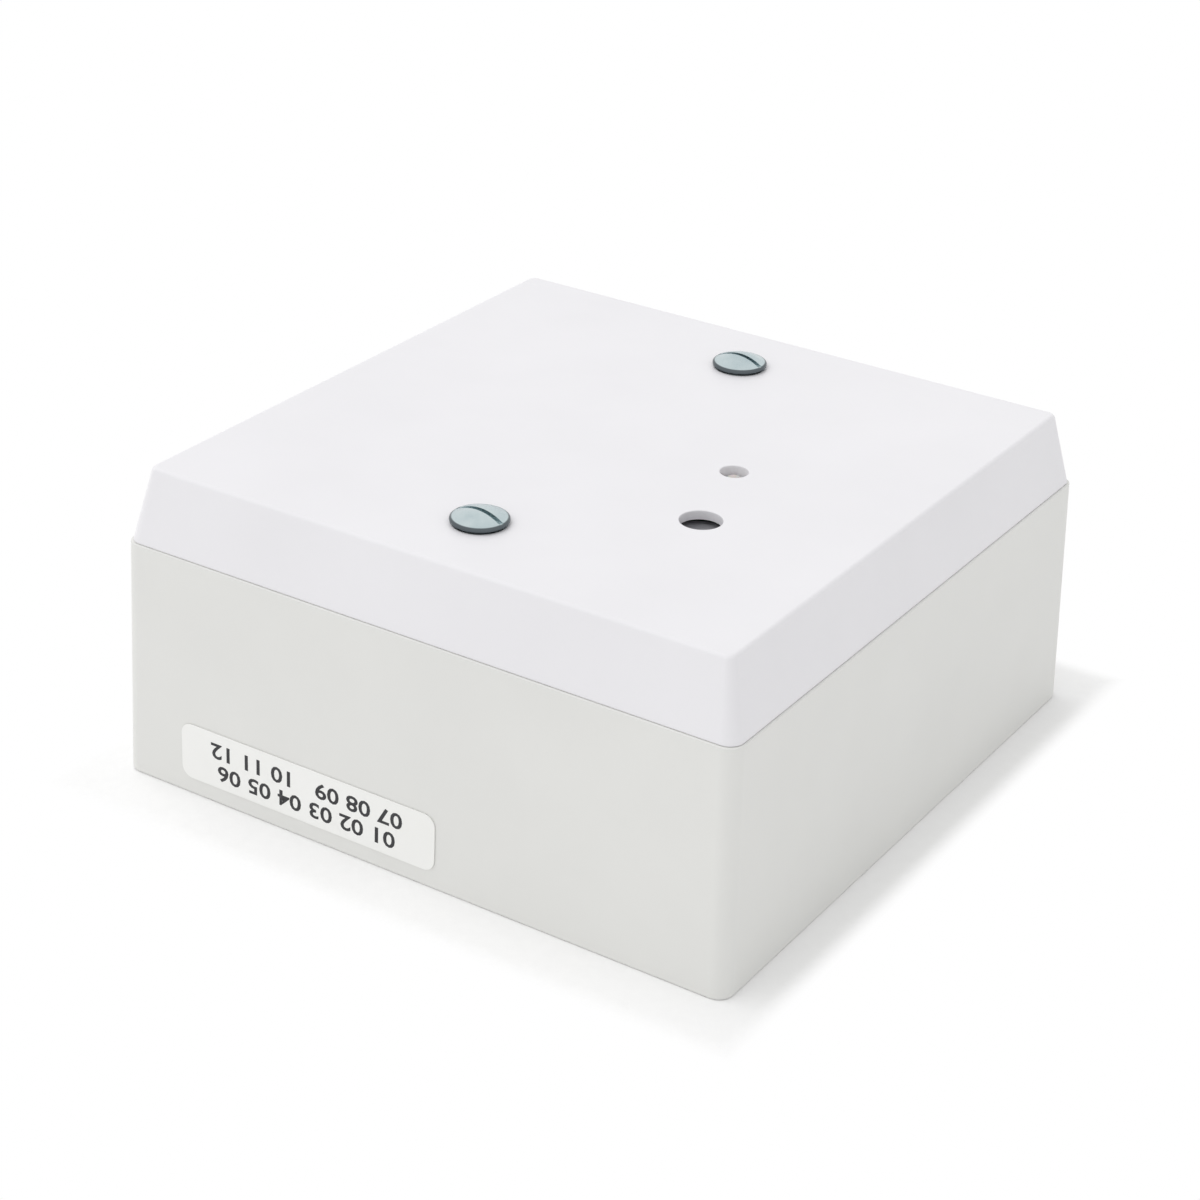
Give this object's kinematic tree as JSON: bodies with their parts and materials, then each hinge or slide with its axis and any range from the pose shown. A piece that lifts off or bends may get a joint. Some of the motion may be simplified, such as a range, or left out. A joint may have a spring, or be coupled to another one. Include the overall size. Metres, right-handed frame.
{
  "type": "smoke alarm radio module",
  "caption": "Square white surface box with a chamfered, screwed cover plate, a recessed test button and a status light, for a radio smoke alarm system.",
  "frame": {"origin": "centre of the back face that lies on the wall, which is the bottom centre of the bounding box", "axes": "+Z out of the wall through the cover plate; -Y is the wall with the label; +X is the side with the button and the light"},
  "size_m": [0.0898, 0.0899, 0.0439],
  "materials": {
    "box_plastic": "satin",
    "cover_plastic": "satin",
    "label_paper": "matt",
    "zinc_plate": "bright zinc plate",
    "brass": "turned",
    "tinned_steel": "bright",
    "nickel": "nickel plate",
    "aluminium": "bright",
    "solder_mask": "green solder mask",
    "black_plastic": "moulded",
    "green_plastic": "moulded",
    "yellow_plastic": "moulded",
    "white_plastic": "moulded",
    "foam": "open foam",
    "lens": "diffused",
    "sleeve": "shrink sleeve",
    "antenna_sleeve": "insulated wire"
  },
  "bodies": {
    "box": {"back_box": "box_plastic", "screw_insert_front": "brass", "screw_insert_rear": "brass", "date_label": "label_paper"},
    "cover": {"cover_plate": "cover_plastic", "circuit_board": "solder_mask", "board_screw_1": "zinc_plate", "board_screw_2": "zinc_plate", "board_screw_3": "zinc_plate", "board_screw_4": "zinc_plate", "test_switch_body": "black_plastic", "test_switch_frame": "tinned_steel", "pairing_switch_body": "black_plastic", "pairing_switch_frame": "tinned_steel", "status_led": "lens", "led_spacer": "white_plastic", "led_cathode": "tinned_steel", "led_anode": "tinned_steel", "lithium_cell": "sleeve", "cell_tag_negative": "nickel", "cell_tag_positive": "nickel", "cell_pad": "foam", "cable_tie": "white_plastic", "battery_switch_base": "black_plastic", "battery_switch_shell": "tinned_steel", "terminal_housing": "green_plastic", "terminal_pin_1": "tinned_steel", "terminal_pin_2": "tinned_steel", "terminal_pin_3": "tinned_steel", "terminal_pin_4": "tinned_steel", "radio_board": "solder_mask", "radio_shield": "tinned_steel", "radio_header": "black_plastic", "radio_pin_1": "brass", "radio_pin_2": "brass", "radio_pin_3": "brass", "radio_pin_4": "brass", "radio_pin_5": "brass", "antenna_wire": "antenna_sleeve", "microcontroller": "black_plastic", "crystal": "nickel", "capacitor": "aluminium", "capacitor_base": "black_plastic"},
    "cover_screw_front": {"cover_screw_front": "zinc_plate"},
    "cover_screw_rear": {"cover_screw_rear": "zinc_plate"},
    "test_plunger": {"test_plunger": "black_plastic"},
    "pairing_plunger": {"pairing_plunger": "black_plastic"},
    "battery_switch_slider": {"battery_switch_slider": "yellow_plastic"},
    "terminal_screw_1": {"terminal_screw_1": "zinc_plate"},
    "terminal_screw_2": {"terminal_screw_2": "zinc_plate"},
    "terminal_screw_3": {"terminal_screw_3": "zinc_plate"},
    "terminal_screw_4": {"terminal_screw_4": "zinc_plate"},
    "terminal_cage_1": {"terminal_cage_1": "nickel"},
    "terminal_cage_2": {"terminal_cage_2": "nickel"},
    "terminal_cage_3": {"terminal_cage_3": "nickel"},
    "terminal_cage_4": {"terminal_cage_4": "nickel"}
  },
  "joints": [
    {"name": "cover_lift", "type": "slide", "parent": "box", "child": "cover", "axis": [0, 0, 1], "range_m": [0, 0.06]},
    {"name": "cover_screw_front_out", "type": "slide", "parent": "cover", "child": "cover_screw_front", "axis": [0, 0, 1], "range_m": [0, 0.022]},
    {"name": "cover_screw_rear_out", "type": "slide", "parent": "cover", "child": "cover_screw_rear", "axis": [0, 0, 1], "range_m": [0, 0.022]},
    {"name": "test_press", "type": "slide", "parent": "cover", "child": "test_plunger", "axis": [0, 0, -1], "range_m": [0, 0.0003], "stiffness_N_per_m": 800, "springref_m": -0.0015},
    {"name": "pairing_press", "type": "slide", "parent": "cover", "child": "pairing_plunger", "axis": [0, 0, 1], "range_m": [0, 0.0003], "stiffness_N_per_m": 800, "springref_m": -0.0015},
    {"name": "battery_switch_slide", "type": "slide", "parent": "cover", "child": "battery_switch_slider", "axis": [1, 0, 0], "range_m": [0, 0.002]},
    {"name": "terminal_screw_1_turn", "type": "hinge", "parent": "cover", "child": "terminal_screw_1", "pos_m": [-0.02182, -0.0203, 0.0228], "axis": [0, 0, 1], "range_deg": [0, 1080]},
    {"name": "terminal_cage_1_close", "type": "slide", "parent": "cover", "child": "terminal_cage_1", "axis": [0, 0, -1], "range_m": [0, 0.0015]},
    {"name": "terminal_screw_2_turn", "type": "hinge", "parent": "cover", "child": "terminal_screw_2", "pos_m": [-0.01674, -0.0203, 0.0228], "axis": [0, 0, 1], "range_deg": [0, 1080]},
    {"name": "terminal_cage_2_close", "type": "slide", "parent": "cover", "child": "terminal_cage_2", "axis": [0, 0, -1], "range_m": [0, 0.0015]},
    {"name": "terminal_screw_3_turn", "type": "hinge", "parent": "cover", "child": "terminal_screw_3", "pos_m": [-0.01166, -0.0203, 0.0228], "axis": [0, 0, 1], "range_deg": [0, 1080]},
    {"name": "terminal_cage_3_close", "type": "slide", "parent": "cover", "child": "terminal_cage_3", "axis": [0, 0, -1], "range_m": [0, 0.0015]},
    {"name": "terminal_screw_4_turn", "type": "hinge", "parent": "cover", "child": "terminal_screw_4", "pos_m": [-0.00658, -0.0203, 0.0228], "axis": [0, 0, 1], "range_deg": [0, 1080]},
    {"name": "terminal_cage_4_close", "type": "slide", "parent": "cover", "child": "terminal_cage_4", "axis": [0, 0, -1], "range_m": [0, 0.0015]}
  ],
  "couplings": [
    {"joint": "terminal_screw_1_turn", "follows": "terminal_cage_1_close", "rad_per_m": 12566},
    {"joint": "terminal_screw_2_turn", "follows": "terminal_cage_2_close", "rad_per_m": 12566},
    {"joint": "terminal_screw_3_turn", "follows": "terminal_cage_3_close", "rad_per_m": 12566},
    {"joint": "terminal_screw_4_turn", "follows": "terminal_cage_4_close", "rad_per_m": 12566}
  ]
}
